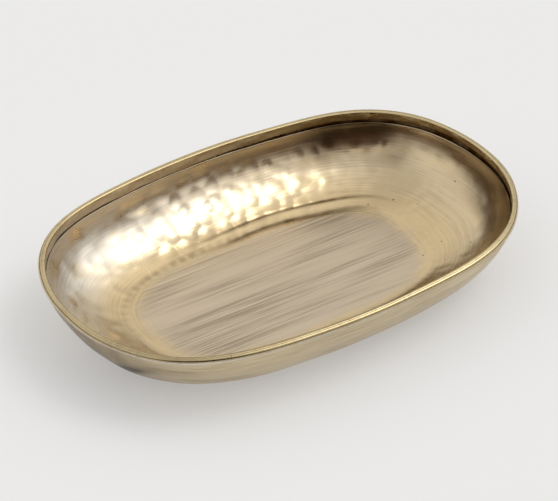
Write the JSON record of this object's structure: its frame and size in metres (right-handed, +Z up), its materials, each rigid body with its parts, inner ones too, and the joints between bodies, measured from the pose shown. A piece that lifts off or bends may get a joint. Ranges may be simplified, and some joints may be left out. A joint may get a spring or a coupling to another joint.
{
  "type": "brass serving tray",
  "caption": "Oval double-walled brass tray: a hammered inner bowl in a smooth outer shell, joined by a folded rim, on felt pads.",
  "frame": {"origin": "centre of the tray on the table that its pads rest on", "axes": "+X along the tray's long side, +Y across it, +Z up out of the bowl"},
  "size_m": [0.406, 0.262, 0.06],
  "materials": {
    "shell_brass": "brushed, aged",
    "liner_brass": "hammered walls, coarse brushed floor, aged",
    "rim_brass": "rubbed smooth",
    "adhesive": "cured epoxy, hidden",
    "felt": "pressed wool felt"
  },
  "bodies": {
    "root": {"outer_shell": "shell_brass", "liner": "liner_brass", "rim_band": "rim_brass", "floor_bond": "adhesive", "foot_pad_1": "felt", "foot_pad_2": "felt", "foot_pad_3": "felt", "foot_pad_4": "felt"}
  },
  "joints": []
}
